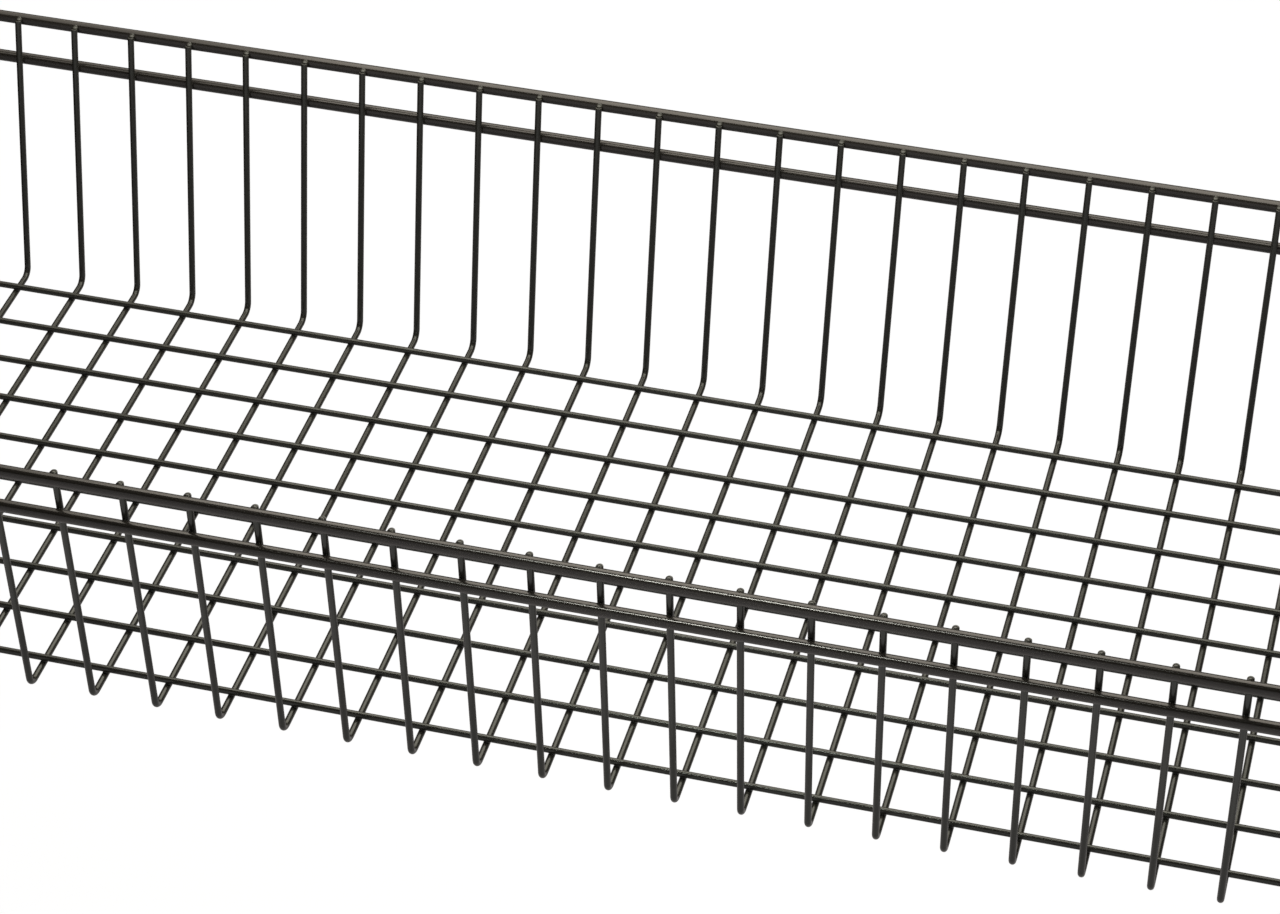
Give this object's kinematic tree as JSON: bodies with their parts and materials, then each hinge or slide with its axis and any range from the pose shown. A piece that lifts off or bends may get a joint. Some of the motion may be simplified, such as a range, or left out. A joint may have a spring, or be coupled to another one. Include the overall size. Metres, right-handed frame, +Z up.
{
  "type": "cable tray",
  "caption": "Long open-top wire mesh tray with flared walls, two round rails on each wall and four sheet-metal hangers for mounting under a desk.",
  "frame": {"origin": "midway along and across the tray, level with the underside of its floor wires", "axes": "+X along the tray, -Y towards the front wall, +Z up"},
  "size_m": [0.975, 0.374, 0.15],
  "materials": {
    "coated_wire": "satin black powder coat on welded steel wire",
    "coated_rail": "satin black powder coat on drawn steel rod",
    "coated_sheet": "satin black powder coat on bent sheet steel"
  },
  "bodies": {
    "root": {"u_wire_01": "coated_wire", "u_wire_02": "coated_wire", "u_wire_03": "coated_wire", "u_wire_04": "coated_wire", "u_wire_05": "coated_wire", "u_wire_06": "coated_wire", "u_wire_07": "coated_wire", "u_wire_08": "coated_wire", "u_wire_09": "coated_wire", "u_wire_10": "coated_wire", "u_wire_11": "coated_wire", "u_wire_12": "coated_wire", "u_wire_13": "coated_wire", "u_wire_14": "coated_wire", "u_wire_15": "coated_wire", "u_wire_16": "coated_wire", "u_wire_17": "coated_wire", "u_wire_18": "coated_wire", "u_wire_19": "coated_wire", "u_wire_20": "coated_wire", "u_wire_21": "coated_wire", "u_wire_22": "coated_wire", "u_wire_23": "coated_wire", "u_wire_24": "coated_wire", "u_wire_25": "coated_wire", "u_wire_26": "coated_wire", "u_wire_27": "coated_wire", "u_wire_28": "coated_wire", "u_wire_29": "coated_wire", "u_wire_30": "coated_wire", "u_wire_31": "coated_wire", "u_wire_32": "coated_wire", "u_wire_33": "coated_wire", "u_wire_34": "coated_wire", "u_wire_35": "coated_wire", "u_wire_36": "coated_wire", "u_wire_37": "coated_wire", "u_wire_38": "coated_wire", "u_wire_39": "coated_wire", "floor_wire_01": "coated_wire", "floor_wire_02": "coated_wire", "floor_wire_03": "coated_wire", "floor_wire_04": "coated_wire", "floor_wire_05": "coated_wire", "floor_wire_06": "coated_wire", "floor_wire_07": "coated_wire", "floor_wire_08": "coated_wire", "floor_wire_09": "coated_wire", "floor_wire_10": "coated_wire", "front_top_rail": "coated_rail", "front_lower_rail": "coated_rail", "back_top_rail": "coated_rail", "back_lower_rail": "coated_rail", "hanger_front_left": "coated_sheet", "hanger_front_right": "coated_sheet", "hanger_back_left": "coated_sheet", "hanger_back_right": "coated_sheet"}
  },
  "joints": []
}
